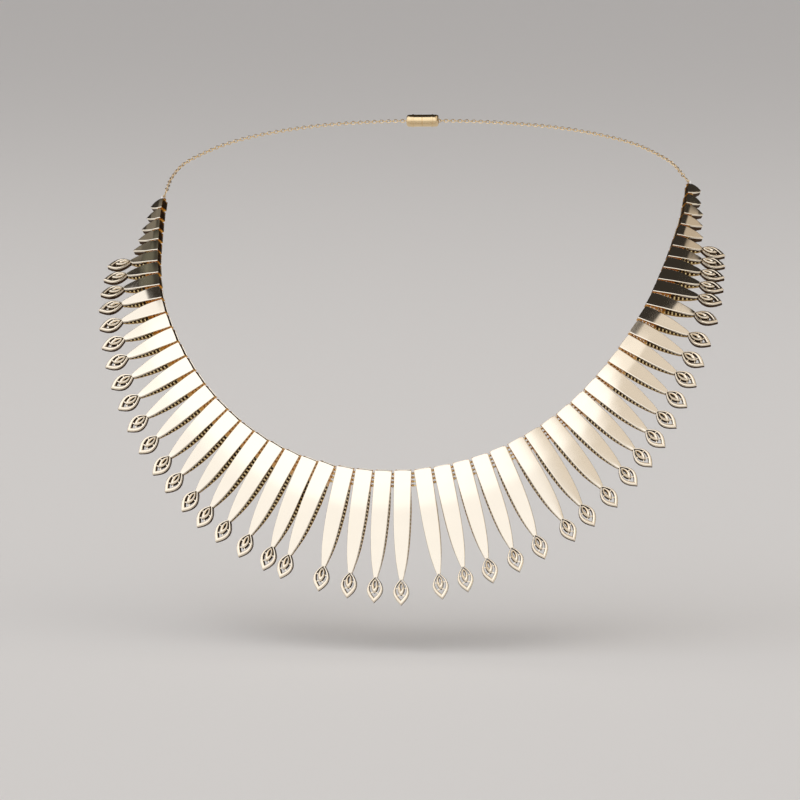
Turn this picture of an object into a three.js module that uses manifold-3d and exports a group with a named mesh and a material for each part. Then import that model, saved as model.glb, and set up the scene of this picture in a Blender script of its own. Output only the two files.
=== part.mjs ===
// A worn bib necklace: a row of hollow gold links that hang side by side like a fringe, the long ones
// ending in a pierced marquise, with a fine chain at each end and a small clasp at the nape.
// Millimetres, +Z up, +Y towards the nape. The origin is on the neck's axis, where the chain lies on the
// shoulders.
import * as THREE from "three";
import { mergeVertices } from "three/addons/utils/BufferGeometryUtils.js";
import Module from "manifold-3d";

const wasm = await Module();
wasm.setup();

// Driving dimensions
const PITCH = 5.1; // from one link's middle to the next along the row
const TIPPED_EACH_SIDE = 22;
const PLAIN_EACH_SIDE = 5;
const LAST_PLACE = TIPPED_EACH_SIDE + PLAIN_EACH_SIDE; // the middle link's place is 0
const LOOP_LENGTH = 457; // the whole necklace with its clasp, measured along the inner edge
const SLIP = 5.3; // how far the row has slid round the neck from the middle
const NECK = { behindFront: 52, aboveFront: 72 }; // the origin, from the lowest point of the neckline
const WALK_STEP = 0.5; // step of the walk along the neckline

const LINK = {
  width: 4.62,
  depth: 2.0, // from the front edge of a side wall to its back edge
  sheet: 0.42, // thickness of the gold sheet
  draft: 0.2, // how much each side wall leans in at the back
  leastHollow: 0.3, // the hollow stops where it would be narrower
};
const HINGE = {
  behind: 1.25, // middle of the hinge behind the front edge
  thickness: 0.32, // of the tongue
  head: 1.1, // width of the head that holds the tongue inside the next link
  headLength: 0.36,
  clearance: 0.28,
};
// Where the hinge sits below a link's top edge, how long it is along the link, and how much further in
// its head stands where the side walls run together
const TIPPED_HINGE = { down: 2.6, long: 1.4, further: 0.55 };
const PLAIN_HINGE = { down: 1.15, long: 0.7, further: 0.35 };
const MARQUISE = {
  length: 7.1,
  width: 4.2,
  thickness: 1.3,
  rim: 0.62, // width of the flat rim
  fullness: 1.15, // 1 gives a parabola for each side, more pulls the ends in
  halfSteps: 4,
  gapEnd: { across: 0.5, along: 1.95 }, // where the gaps at the two sides of the boss end
  bossLength: 4.1,
  bossWidth: 1.7,
  bossRise: 0.35,
  bossSides: 6,
  overlap: 0.35, // how far it reaches into the blade
};
const RING = { radius: 0.78, wire: 0.24, wireSides: 5, sides: 10 };
const CHAIN = { diameter: 1.1, sides: 8, step: 3.3, straight: 5, spacing: 7 };
const CLASP = { length: 9, radius: 1.9, chamfer: 0.5, boreDepth: 2.1, clearance: 0.3, sides: 10 };

// The neckline from its lowest point round to the nape: turn is the heading upwards in the plane of the
// front view, back is the heading towards the nape, lean tips a link's lower end forwards.
const NECKLINE = [
  { arc: 0, turn: 0, back: 0, lean: 14 },
  { arc: 20, turn: 14, back: 14, lean: 16 },
  { arc: 40, turn: 30.5, back: 23, lean: 14 },
  { arc: 60, turn: 47, back: 26, lean: 11 },
  { arc: 80, turn: 59, back: 34.5, lean: 10 },
  { arc: 95, turn: 69, back: 51.5, lean: 10 },
  { arc: 110, turn: 73, back: 58.5, lean: 4 },
  { arc: 125, turn: 76, back: 59, lean: -9 },
  { arc: 141, turn: 92, back: 63, lean: -27 },
  { arc: 154, turn: 150, back: 44, lean: -33 },
  { arc: 175, turn: 168, back: 24, lean: -33 },
  { arc: 200, turn: 176, back: 10, lean: -33 },
  { arc: 228.5, turn: 180, back: 0, lean: -33 },
];

// Length of a link from its top edge to its tip, by its place from the middle
const LENGTHS = [
  { place: 0, length: 36.2 },
  { place: 4, length: 33.3 },
  { place: 8, length: 30.2 },
  { place: 12, length: 26 },
  { place: 16, length: 21.5 },
  { place: 22, length: 15.3 },
];
const PLAIN_LENGTHS = [
  { place: 23, length: 7.6 },
  { place: 24, length: 6.5 },
  { place: 25, length: 5.8 },
  { place: 26, length: 4.7 },
  { place: 27, length: 4.1 },
];

// How far a link hangs askew, in degrees, by its place from the middle. Negative places are the left
// side as seen from the front.
const SWINGS = [
  { place: -27, swing: 2.5 },
  { place: -24, swing: 0.5 },
  { place: -22, swing: -1.8 },
  { place: -20, swing: 2.6 },
  { place: -18, swing: 0.4 },
  { place: -16, swing: -2.3 },
  { place: -14, swing: -1.3 },
  { place: -11, swing: 1.4 },
  { place: -10, swing: -0.5 },
  { place: -9, swing: 0 },
  { place: -8, swing: -2.2 },
  { place: -7, swing: -3.5 },
  { place: -5, swing: -3 },
  { place: -4, swing: -7.4 },
  { place: -3, swing: -1.7 },
  { place: -2, swing: -1.5 },
  { place: 0, swing: -3.2 },
  { place: 1, swing: 2 },
  { place: 3, swing: -0.7 },
  { place: 5, swing: -1.6 },
  { place: 6, swing: 1.2 },
  { place: 7, swing: -0.5 },
  { place: 9, swing: 2 },
  { place: 12, swing: -1.8 },
  { place: 14, swing: -2.5 },
  { place: 16, swing: -4.4 },
  { place: 18, swing: 1 },
  { place: 20, swing: -0.3 },
  { place: 22, swing: 2.5 },
  { place: 25, swing: 3.2 },
  { place: 27, swing: -2.6 },
];

// A blade's form down its length: width as a share of the link's, bulge of its face forwards and belly of
// its back edge backwards as shares of the blade's length, depth of its walls as a share of the link's
const TIPPED_BLADE = [
  { down: 0, width: 1, bulge: 0, belly: 0, depth: 1 },
  { down: 0.4, width: 0.97, bulge: 0.028, belly: 0.015, depth: 0.95 },
  { down: 0.66, width: 0.84, bulge: 0.018, belly: 0.02, depth: 0.84 },
  { down: 0.86, width: 0.6, bulge: 0.006, belly: 0.008, depth: 0.74 },
  { down: 1, width: 0.25, bulge: 0, belly: 0, depth: 0.65 },
];
const PLAIN_BLADE = [
  { down: 0, width: 1, bulge: 0, belly: 0, depth: 1 },
  { down: 0.3, width: 0.95, bulge: 0.03, belly: 0, depth: 1 },
  { down: 0.65, width: 0.66, bulge: 0.03, belly: 0, depth: 0.9 },
  { down: 0.9, width: 0.3, bulge: 0.01, belly: 0, depth: 0.75 },
  { down: 1, width: 0.1, bulge: 0, belly: 0, depth: 0.7 },
];

// The shorter blades taper straighter towards the tip: what is left of their width, and from which place
// to which place this comes in
const TAPER = [
  { down: 0.12, keep: 1 },
  { down: 0.4, keep: 0.93 },
  { down: 0.58, keep: 0.88 },
  { down: 0.8, keep: 0.82 },
  { down: 1, keep: 1 },
];
const TAPER_FROM = 8;
const TAPER_FULL = 13;

const goldColour = 0xe6c27a;

function gold() {
  return new THREE.MeshStandardMaterial({ color: goldColour, roughness: 0.18, metalness: 1 });
}

// The value of one column of a table at a place between two rows
function between(rows, key, column, at) {
  const last = rows.length - 1;
  if (at <= rows[0][key]) return rows[0][column];
  if (at >= rows[last][key]) return rows[last][column];
  const after = rows.findIndex((row) => row[key] > at);
  const low = rows[after - 1];
  const high = rows[after];
  const share = (at - low[key]) / (high[key] - low[key]);
  return low[column] + (high[column] - low[column]) * share;
}

function heading(arc) {
  const turn = THREE.MathUtils.degToRad(between(NECKLINE, "arc", "turn", arc));
  const back = THREE.MathUtils.degToRad(between(NECKLINE, "arc", "back", arc));
  return new THREE.Vector3(
    Math.cos(turn) * Math.cos(back),
    Math.sin(back),
    Math.sin(turn) * Math.cos(back),
  );
}

// Points of the neckline, one each step, from its lowest point to the nape
function walkNeckline() {
  const points = [new THREE.Vector3(0, -NECK.behindFront, -NECK.aboveFront)];
  for (let arc = 0; arc < LOOP_LENGTH / 2; arc += WALK_STEP) {
    const step = heading(arc + WALK_STEP / 2).multiplyScalar(WALK_STEP);
    points.push(points[points.length - 1].clone().add(step));
  }
  return points;
}

const neckline = walkNeckline();

// The point and direction of the neckline at a distance from its lowest point, either way round
function onNeckline(distance) {
  const half = LOOP_LENGTH / 2;
  const wrapped = distance > half ? distance - LOOP_LENGTH : distance;
  const arc = Math.min(Math.abs(wrapped), half);
  const index = Math.min(Math.floor(arc / WALK_STEP), neckline.length - 2);
  const share = arc / WALK_STEP - index;
  const point = neckline[index].clone().lerp(neckline[index + 1], share);
  const along = heading(arc);
  if (wrapped < 0) {
    point.x = -point.x;
    along.set(along.x, -along.y, -along.z);
  }
  return { point, along, arc };
}

// A frame on the neckline: +X runs along it, -Z hangs down from it, -Y faces outwards
function frameOnNeckline(distance, swingDegrees) {
  const { point, along, arc } = onNeckline(distance);
  const lean = THREE.MathUtils.degToRad(between(NECKLINE, "arc", "lean", arc));
  const swing = THREE.MathUtils.degToRad(swingDegrees);
  const forwards = new THREE.Vector3(0, -1, 0);
  const outwards = new THREE.Vector3().crossVectors(along, forwards).normalize();
  const face = new THREE.Vector3().crossVectors(outwards, along).normalize();
  const down = outwards.clone().multiplyScalar(Math.cos(lean)).addScaledVector(face, Math.sin(lean));
  const swung = down.clone().multiplyScalar(Math.cos(swing)).addScaledVector(along, Math.sin(swing));
  const across = along.clone().multiplyScalar(Math.cos(swing)).addScaledVector(down, -Math.sin(swing));
  const up = swung.clone().negate();
  const behind = new THREE.Vector3().crossVectors(up, across);
  return new THREE.Matrix4().makeBasis(across, behind, up).setPosition(point);
}

function linkPlace(place) {
  return frameOnNeckline(place * PITCH + SLIP, between(SWINGS, "place", "swing", place));
}

// A closed body through rings of equal numbers of points
function loft(rings) {
  const size = rings[0].length;
  const positions = rings.flat().flatMap((point) => [point.x, point.y, point.z]);
  const index = [];
  for (let ring = 0; ring < rings.length - 1; ring += 1) {
    for (let corner = 0; corner < size; corner += 1) {
      const next = (corner + 1) % size;
      const a = ring * size + corner;
      const b = ring * size + next;
      const c = a + size;
      const d = b + size;
      index.push(a, c, b, b, c, d);
    }
  }
  const end = (rings.length - 1) * size;
  for (let corner = 1; corner < size - 1; corner += 1) {
    index.push(0, corner, corner + 1);
    index.push(end, end + corner + 1, end + corner);
  }
  const geometry = new THREE.BufferGeometry();
  geometry.setAttribute("position", new THREE.Float32BufferAttribute(positions, 3));
  geometry.setIndex(index);
  return geometry;
}

function toSolid(source) {
  const geometry = source.clone();
  geometry.deleteAttribute("normal");
  geometry.deleteAttribute("uv");
  const merged = mergeVertices(geometry, 1e-5);
  const mesh = new wasm.Mesh({
    numProp: 3,
    vertProperties: new Float32Array(merged.attributes.position.array),
    triVerts: new Uint32Array(merged.index.array),
  });
  return new wasm.Manifold(mesh);
}

function toGeometry(solid) {
  const mesh = solid.getMesh();
  const geometry = new THREE.BufferGeometry();
  geometry.setAttribute("position", new THREE.BufferAttribute(new Float32Array(mesh.vertProperties), 3));
  geometry.setIndex(new THREE.BufferAttribute(new Uint32Array(mesh.triVerts), 1));
  geometry.computeVertexNormals();
  return geometry;
}

// One ring across a blade: front corners first, then the back corners of the side walls
function bladeRing(row, length, inset, backReach) {
  const half = (LINK.width * row.width) / 2;
  const narrowing = LINK.draft * row.width;
  const front = -row.bulge * length + inset;
  const back = LINK.depth * row.depth + row.belly * length + backReach;
  const z = -row.down * length;
  return [
    new THREE.Vector3(-half + inset, front, z),
    new THREE.Vector3(half - inset, front, z),
    new THREE.Vector3(half - narrowing - inset, back, z),
    new THREE.Vector3(-half + narrowing + inset, back, z),
  ];
}

// The hollow behind the face: it starts below the top wall and stops where the blade gets too narrow
function hollowRows(rows, length) {
  const top = LINK.sheet / length;
  const narrowest = (LINK.sheet * 2 + LINK.leastHollow) / LINK.width;
  const kept = rows.slice(1).filter((row) => row.width > narrowest);
  const first = {
    down: top,
    width: between(rows, "down", "width", top),
    bulge: between(rows, "down", "bulge", top),
    belly: between(rows, "down", "belly", top),
    depth: between(rows, "down", "depth", top),
  };
  return [first, ...kept];
}

function bladeShell(rows, length) {
  const outer = rows.map((row) => bladeRing(row, length, 0, 0));
  const inner = hollowRows(rows, length).map((row) => bladeRing(row, length, LINK.sheet, LINK.sheet));
  return toSolid(loft(outer)).subtract(toSolid(loft(inner)));
}

// A box between two corners
function block(low, high) {
  const size = high.clone().sub(low);
  const geometry = new THREE.BoxGeometry(size.x, size.y, size.z);
  const middle = low.clone().add(high).multiplyScalar(0.5);
  geometry.translate(middle.x, middle.y, middle.z);
  return toSolid(geometry);
}

// The hinge between a link and the next one: the plain links carry a smaller one
function hingeAfter(place) {
  const reach = Math.max(Math.abs(place), Math.abs(place + 1));
  return reach <= TIPPED_EACH_SIDE ? TIPPED_HINGE : PLAIN_HINGE;
}

// The tongue stands on the side wall, passes through the next link's wall and has a head behind it
function hingeTongue(hinge) {
  const start = LINK.width / 2 - LINK.sheet - hinge.further / 2;
  const nextWall = PITCH - LINK.width / 2;
  const headStart = nextWall + LINK.sheet + HINGE.clearance + hinge.further;
  const headEnd = headStart + HINGE.headLength;
  const halfTongue = HINGE.thickness / 2;
  const halfHead = HINGE.head / 2;
  const outline = new THREE.Shape();
  outline.moveTo(start, -halfTongue);
  outline.lineTo(headStart, -halfTongue);
  outline.lineTo(headStart, -halfHead);
  outline.lineTo(headEnd, -halfHead);
  outline.lineTo(headEnd, halfHead);
  outline.lineTo(headStart, halfHead);
  outline.lineTo(headStart, halfTongue);
  outline.lineTo(start, halfTongue);
  const geometry = new THREE.ExtrudeGeometry(outline, { depth: hinge.long, bevelEnabled: false });
  geometry.translate(0, HINGE.behind, -hinge.down - hinge.long / 2);
  return toSolid(geometry);
}

// The slot in the other side wall, cut where the tongue of the link before comes through it
function hingeSlot(place) {
  const hinge = hingeAfter(place - 1);
  const wall = LINK.width / 2;
  const halfHeight = hinge.long / 2 + HINGE.clearance;
  const halfDepth = HINGE.thickness / 2 + HINGE.clearance;
  const within = LINK.sheet + LINK.draft + hinge.further;
  const middle = new THREE.Vector3(PITCH - wall + LINK.sheet / 2, HINGE.behind, -hinge.down);
  middle.applyMatrix4(linkPlace(place - 1)).applyMatrix4(linkPlace(place).invert());
  return block(
    new THREE.Vector3(-wall - LINK.sheet, middle.y - halfDepth, middle.z - halfHeight),
    new THREE.Vector3(-wall + within, middle.y + halfDepth, middle.z + halfHeight),
  );
}

// A pointed oval with its long axis along Y, from the lower point round
function pointedOval(length, width, steps) {
  const side = (sign) => (share) => {
    const y = length * (share - 0.5);
    const x = sign * (width / 2) * (1 - (2 * y / length) ** 2) ** MARQUISE.fullness;
    return new THREE.Vector2(x, y);
  };
  const shares = Array.from({ length: steps }, (unused, step) => step / steps);
  const up = shares.map(side(1));
  const down = shares.map((share) => side(-1)(1 - share));
  return [...up, ...down];
}

// One of the two gaps between the rim and the boss: a lens that follows them both
function sideGap(sign) {
  const outer = MARQUISE.width / 2 - MARQUISE.rim;
  const inner = MARQUISE.bossWidth / 2;
  const end = MARQUISE.gapEnd;
  return [
    new THREE.Vector2(sign * end.across, -end.along),
    new THREE.Vector2(sign * outer, 0),
    new THREE.Vector2(sign * end.across, end.along),
    new THREE.Vector2(sign * inner, 0),
  ];
}

// The pierced tip, its upper point at the origin, with a raised boss between two gaps
function marquiseSolid() {
  const outline = new THREE.Shape(pointedOval(MARQUISE.length, MARQUISE.width, MARQUISE.halfSteps));
  outline.holes.push(new THREE.Path(sideGap(1)), new THREE.Path(sideGap(-1)));
  const plate = new THREE.ExtrudeGeometry(outline, { depth: MARQUISE.thickness, bevelEnabled: false });
  const bossHeight = MARQUISE.bossRise + MARQUISE.thickness / 2;
  const boss = new THREE.ConeGeometry(1, bossHeight, MARQUISE.bossSides);
  boss.rotateX(Math.PI / 2);
  boss.scale(MARQUISE.bossWidth / 2 - LINK.sheet / 4, MARQUISE.bossLength / 2, 1);
  boss.translate(0, 0, MARQUISE.thickness + MARQUISE.bossRise - bossHeight / 2);
  const solid = toSolid(plate).add(toSolid(boss));
  const geometry = toGeometry(solid);
  geometry.rotateX(Math.PI / 2);
  geometry.translate(0, MARQUISE.thickness, -MARQUISE.length / 2);
  return toSolid(geometry);
}

// The middle of the ring on the outer wall of the last link of a side, in that link's own frame
function endRingMiddle(side) {
  const out = LINK.width / 2 + RING.radius - RING.wire / 2;
  return new THREE.Vector3(side * out, HINGE.behind, -PLAIN_HINGE.down);
}

function wireRing(middle) {
  const geometry = new THREE.TorusGeometry(RING.radius, RING.wire, RING.wireSides, RING.sides);
  geometry.translate(middle.x, middle.y, middle.z);
  return geometry;
}

function endRing(side) {
  const middle = endRingMiddle(side);
  const geometry = wireRing(new THREE.Vector3());
  geometry.rotateX(Math.PI / 2);
  geometry.translate(middle.x, middle.y, middle.z);
  return toSolid(geometry);
}

const marquise = marquiseSolid();

function tippedRows(place) {
  const reach = (Math.abs(place) - TAPER_FROM) / (TAPER_FULL - TAPER_FROM);
  const tapered = THREE.MathUtils.clamp(reach, 0, 1);
  return TIPPED_BLADE.map((row) => {
    const kept = 1 - tapered * (1 - between(TAPER, "down", "keep", row.down));
    return { ...row, width: row.width * kept };
  });
}

function linkSolid(place) {
  const tipped = Math.abs(place) <= TIPPED_EACH_SIDE;
  const rows = tipped ? tippedRows(place) : PLAIN_BLADE;
  const total = between(tipped ? LENGTHS : PLAIN_LENGTHS, "place", "length", Math.abs(place));
  const length = tipped ? total - MARQUISE.length : total;
  let solid = bladeShell(rows, length);
  if (tipped) {
    solid = solid.add(marquise.translate(0, 0, MARQUISE.overlap - length));
  }
  if (place < LAST_PLACE) {
    solid = solid.add(hingeTongue(hingeAfter(place)));
  }
  if (place > -LAST_PLACE) {
    solid = solid.subtract(hingeSlot(place));
  }
  if (Math.abs(place) === LAST_PLACE) {
    solid = solid.add(endRing(Math.sign(place)));
  }
  return solid;
}

function linkName(place) {
  const side = place < 0 ? "left" : "right";
  const distance = Math.abs(place);
  if (distance === 0) return "fringe_link_centre";
  if (distance <= TIPPED_EACH_SIDE) return `fringe_link_${side}_${String(distance).padStart(2, "0")}`;
  return `plain_link_${side}_${distance - TIPPED_EACH_SIDE}`;
}

// The chain of one side: a ring caught in the last link's ring, then a round strand to the clasp
function chainSolid(side) {
  const last = side * LAST_PLACE;
  const frame = linkPlace(last);
  const middle = endRingMiddle(side).add(new THREE.Vector3(side * RING.radius, 0, 0));
  const ring = wireRing(middle).applyMatrix4(frame);
  const start = middle.clone().add(new THREE.Vector3(side * RING.radius, 0, 0)).applyMatrix4(frame);
  const from = Math.abs(last * PITCH + SLIP) + CHAIN.straight;
  const claspDistance = LOOP_LENGTH / 2 + side * SLIP;
  const to = claspDistance - CLASP.length / 2 + CLASP.boreDepth - CLASP.clearance;
  const spans = Math.round((to - from - CHAIN.spacing) / CHAIN.spacing);
  const points = [start];
  for (let span = 0; span <= spans; span += 1) {
    const distance = from + ((to - CHAIN.spacing - from) * span) / spans;
    points.push(onNeckline(side * distance).point);
  }
  points.push(onNeckline(side * to).point);
  const route = new THREE.CatmullRomCurve3(points);
  const radius = CHAIN.diameter / 2;
  const corners = Array.from({ length: CHAIN.sides }, (unused, corner) => {
    const angle = (2 * Math.PI * corner) / CHAIN.sides;
    return new THREE.Vector2(radius * Math.cos(angle), radius * Math.sin(angle));
  });
  const strand = new THREE.ExtrudeGeometry(new THREE.Shape(corners), {
    steps: Math.round(route.getLength() / CHAIN.step),
    extrudePath: route,
    bevelEnabled: false,
  });
  return toSolid(strand).add(toSolid(ring));
}

// A plain barrel with a blind bore at each end, where the two chains go in
function claspGeometry() {
  const half = CLASP.length / 2;
  const bore = CHAIN.diameter / 2 + CLASP.clearance;
  const floor = half - CLASP.boreDepth;
  const profile = [
    new THREE.Vector2(0, -floor),
    new THREE.Vector2(bore, -floor),
    new THREE.Vector2(bore, -half),
    new THREE.Vector2(CLASP.radius - CLASP.chamfer, -half),
    new THREE.Vector2(CLASP.radius, -half + CLASP.chamfer),
    new THREE.Vector2(CLASP.radius, half - CLASP.chamfer),
    new THREE.Vector2(CLASP.radius - CLASP.chamfer, half),
    new THREE.Vector2(bore, half),
    new THREE.Vector2(bore, floor),
    new THREE.Vector2(0, floor),
  ];
  const geometry = new THREE.LatheGeometry(profile, CLASP.sides);
  geometry.rotateZ(Math.PI / 2);
  return geometry;
}

const necklace = new THREE.Group();

for (let place = -LAST_PLACE; place <= LAST_PLACE; place += 1) {
  const link = new THREE.Mesh(toGeometry(linkSolid(place)), gold());
  link.name = linkName(place);
  link.applyMatrix4(linkPlace(place));
  necklace.add(link);
}

for (const side of [-1, 1]) {
  const chain = new THREE.Mesh(toGeometry(chainSolid(side)), gold());
  chain.name = side < 0 ? "back_chain_left" : "back_chain_right";
  necklace.add(chain);
}

const clasp = new THREE.Mesh(toGeometry(toSolid(claspGeometry())), gold());
clasp.name = "clasp";
clasp.applyMatrix4(frameOnNeckline(LOOP_LENGTH / 2 + SLIP, 0));
necklace.add(clasp);

export default necklace;
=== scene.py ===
"""A worn bib necklace in polished gold: a fringe of hollow links, two fine chains and a barrel clasp."""

import math

import bmesh
import bpy
from mathutils import Matrix, Vector


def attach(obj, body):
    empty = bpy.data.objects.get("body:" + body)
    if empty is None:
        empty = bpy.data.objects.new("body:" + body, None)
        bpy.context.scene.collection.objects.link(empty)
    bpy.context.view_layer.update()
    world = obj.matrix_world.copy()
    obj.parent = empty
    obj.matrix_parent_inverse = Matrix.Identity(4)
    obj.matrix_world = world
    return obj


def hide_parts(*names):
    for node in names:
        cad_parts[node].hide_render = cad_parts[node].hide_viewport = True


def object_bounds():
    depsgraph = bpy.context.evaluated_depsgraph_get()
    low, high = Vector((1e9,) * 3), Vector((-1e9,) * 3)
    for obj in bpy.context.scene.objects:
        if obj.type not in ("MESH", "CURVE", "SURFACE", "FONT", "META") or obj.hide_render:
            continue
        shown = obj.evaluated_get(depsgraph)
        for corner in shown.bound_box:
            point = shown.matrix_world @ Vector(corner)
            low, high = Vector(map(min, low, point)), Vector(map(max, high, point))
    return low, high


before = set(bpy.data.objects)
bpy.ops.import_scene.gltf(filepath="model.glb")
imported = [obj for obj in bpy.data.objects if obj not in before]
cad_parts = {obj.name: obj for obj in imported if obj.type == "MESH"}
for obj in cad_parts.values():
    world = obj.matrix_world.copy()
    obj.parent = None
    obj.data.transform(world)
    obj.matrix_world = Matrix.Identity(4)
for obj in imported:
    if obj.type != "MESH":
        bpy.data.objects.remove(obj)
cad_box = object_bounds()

bl_info = {
    "name": "Bib Necklace",
    "version": (1, 0, 0),
    "blender": (4, 5, 0),
    "location": "3D View > Sidebar > Necklace",
    "description": "Builds a gold fringe necklace and its studio around the packed model",
    "category": "Add Mesh",
}

MM = 0.001
SMOOTH_ANGLE = math.radians(38)


def table(columns, *rows):
    """Rows of numbers under named columns."""
    names = columns.split()
    return [dict(zip(names, row)) for row in rows]


def length_setting(name, description, default):
    """A length that a user may change, in metres."""
    return bpy.props.FloatProperty(name=name, description=description, default=default, unit="LENGTH")


def colour_setting(name, description, default):
    """A colour that a user may change."""
    return bpy.props.FloatVectorProperty(
        name=name, description=description, default=default, size=3, subtype="COLOR", min=0, max=1
    )


# The row of links and where it lies, in millimetres and degrees
PITCH = 5.1
TIPPED_EACH_SIDE = 22
PLAIN_EACH_SIDE = 5
LAST_PLACE = TIPPED_EACH_SIDE + PLAIN_EACH_SIDE
LOOP_LENGTH = 457
SLIP = 5.3
LOWEST_POINT = Vector((0, -52, -72))
WALK_STEP = 0.5

NECKLINE = table(
    "arc turn back lean",
    (0, 0, 0, 14),
    (20, 14, 14, 16),
    (40, 30.5, 23, 14),
    (60, 47, 26, 11),
    (80, 59, 34.5, 10),
    (95, 69, 51.5, 10),
    (110, 73, 58.5, 4),
    (125, 76, 59, -9),
    (141, 92, 63, -27),
    (154, 150, 44, -33),
    (175, 168, 24, -33),
    (200, 176, 10, -33),
    (228.5, 180, 0, -33),
)

# Length of a link from its top edge to its tip
LENGTHS = table("place length", (0, 36.2), (4, 33.3), (8, 30.2), (12, 26), (16, 21.5), (22, 15.3))
PLAIN_LENGTHS = table("place length", (23, 7.6), (24, 6.5), (25, 5.8), (26, 4.7), (27, 4.1))

# How far a link hangs askew
SWINGS = table(
    "place swing",
    (-27, 2.5), (-24, 0.5), (-22, -1.8), (-20, 2.6), (-18, 0.4), (-16, -2.3), (-14, -1.3),
    (-11, 1.4), (-10, -0.5), (-9, 0), (-8, -2.2), (-7, -3.5), (-5, -3), (-4, -7.4), (-3, -1.7),
    (-2, -1.5), (0, -3.2), (1, 2), (3, -0.7), (5, -1.6), (6, 1.2), (7, -0.5), (9, 2), (12, -1.8),
    (14, -2.5), (16, -4.4), (18, 1), (20, -0.3), (22, 2.5), (25, 3.2), (27, -2.6),
)

# A blade's form down its length: width as a share of the link's, bulge of its face forwards and belly of
# its back edge backwards as shares of the blade's length, depth of its walls as a share of the link's
TIPPED_BLADE = table(
    "down width bulge belly depth",
    (0, 1, 0, 0, 1),
    (0.2, 0.995, 0.0185, 0.0085, 0.985),
    (0.4, 0.965, 0.028, 0.0155, 0.95),
    (0.54, 0.915, 0.0255, 0.0195, 0.9),
    (0.68, 0.82, 0.0175, 0.0195, 0.83),
    (0.85, 0.6, 0.0065, 0.009, 0.75),
    (0.94, 0.4, 0.0015, 0.003, 0.7),
    (1, 0.25, 0, 0, 0.65),
)
PLAIN_BLADE = table(
    "down width bulge belly depth",
    (0, 1, 0, 0, 1),
    (0.3, 0.94, 0.03, 0, 1),
    (0.65, 0.66, 0.03, 0, 0.9),
    (0.9, 0.28, 0.01, 0, 0.75),
    (1, 0.08, 0, 0, 0.7),
)

# The shorter blades taper straighter towards the tip: what is left of their width, and from which place
# to which place this comes in
TAPER = table("down keep", (0.12, 1), (0.4, 0.93), (0.58, 0.88), (0.8, 0.82), (1, 1))
TAPER_FROM = 8
TAPER_FULL = 13

# How far the side walls lean in towards the back, as shares of the draft: below the hinge they flare out
WALL_LEANS = table("down lean", (0, 1), (0.14, 0.9), (0.36, -0.6), (0.8, -0.6), (1, 0.3))

# The hinges' place behind a link's front plane, and the bars' distances down from its top edge
HINGE_BEHIND = 1.25
TIPPED_BARS = table("down", (1.1,), (2.15,), (3.2,), (4.25,))
PLAIN_BARS = table("down", (1.0,), (1.75,))


class NECKLACE_PG_link(bpy.types.PropertyGroup):
    """Sizes of the links' gold sheet."""

    width: length_setting("Width", "Width of a link at its top", 0.00462)
    depth: length_setting("Depth", "Depth of the side walls at the top", 0.002)
    sheet: length_setting("Face Sheet", "Thickness of the polished face", 0.00042)
    wall: length_setting("Wall", "Thickness of the side walls", 0.00034)
    draft: length_setting("Draft", "How far each side wall leans in at the back", 0.0002)
    edge: length_setting("Edge", "Radius of the face's polished edge", 0.0002)
    crown: length_setting("Crown", "How far the face is rounded across", 0.000012)
    overhang: length_setting("Overhang", "How far the face stands over its side walls", 0.00008)
    top_gap: length_setting("Top Gap", "How far the face's top edge sits below the back rim", 0.00045)
    arch: length_setting("Arch", "How far the top edge drops to its corners", 0.0001)


class NECKLACE_PG_gallery(bpy.types.PropertyGroup):
    """Sizes of the pierced side galleries."""

    solid: length_setting("Solid Part", "Length of a side wall's top that isn't pierced", 0.0056)
    # Painted shadow: a band of the painted shade finish under the face's edge, standing for the shade of the
    # face's overhang
    painted_shadow_line: length_setting("Shadow", "Height of the dark line between the face and the front rail", 0.00022)
    front_rail: length_setting("Front Rail", "How far the front rail reaches from the face", 0.00044)
    back_rail: length_setting("Back Rail", "Height of the rail along the back", 0.00034)
    post_spacing: length_setting("Post Spacing", "From one post of the gallery to the next", 0.00098)
    post_width: length_setting("Post Width", "Width of a post along the wall", 0.0004)


class NECKLACE_PG_hinge(bpy.types.PropertyGroup):
    """Sizes of the hinge bars between the links."""

    radius: length_setting("Bar Radius", "Radius of a bar where it goes through the next link", 0.0002)
    bead: length_setting("Bead Radius", "Radius of the bead between two links", 0.00036)
    head: length_setting("Head Radius", "Radius of the head behind the next link's wall", 0.00034)


class NECKLACE_PG_marquise(bpy.types.PropertyGroup):
    """Sizes of the pierced tips."""

    length: length_setting("Length", "From point to point", 0.0071)
    width: length_setting("Width", "Across the middle", 0.0042)
    depth: length_setting("Depth", "From front to back", 0.0013)
    overlap: length_setting("Overlap", "How far the tip reaches into the blade", 0.00036)
    opening_length: length_setting("Opening Length", "Length of the opening in the rim", 0.0053)
    opening_width: length_setting("Opening Width", "Width of the opening in the rim", 0.00284)
    ring_length: length_setting("Inner Ring Length", "Length of the raised inner ring", 0.0038)
    ring_width: length_setting("Inner Ring Width", "Width of the raised inner ring", 0.0018)
    slot_length: length_setting("Slot Length", "Length of the slot in the inner ring", 0.00165)
    slot_width: length_setting("Slot Width", "Width of the slot in the inner ring", 0.00048)
    rise: length_setting("Rise", "How far the inner ring stands over the rim", 0.00034)


class NECKLACE_PG_chain(bpy.types.PropertyGroup):
    """Sizes of the back chains and the clasp."""

    link_length: length_setting("Link Length", "Outer length of a chain link", 0.00152)
    link_width: length_setting("Link Width", "Outer width of a chain link", 0.00108)
    wire: length_setting("Wire", "Thickness of a chain link's wire", 0.00025)
    ring_radius: length_setting("End Ring Radius", "Radius of the rings at the row's ends", 0.00078)
    ring_wire: length_setting("End Ring Wire", "Thickness of the wire of those rings", 0.00046)
    clasp_length: length_setting("Clasp Length", "Length of the barrel clasp", 0.009)
    clasp_radius: length_setting("Clasp Radius", "Radius of the barrel clasp", 0.00172)


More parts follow.
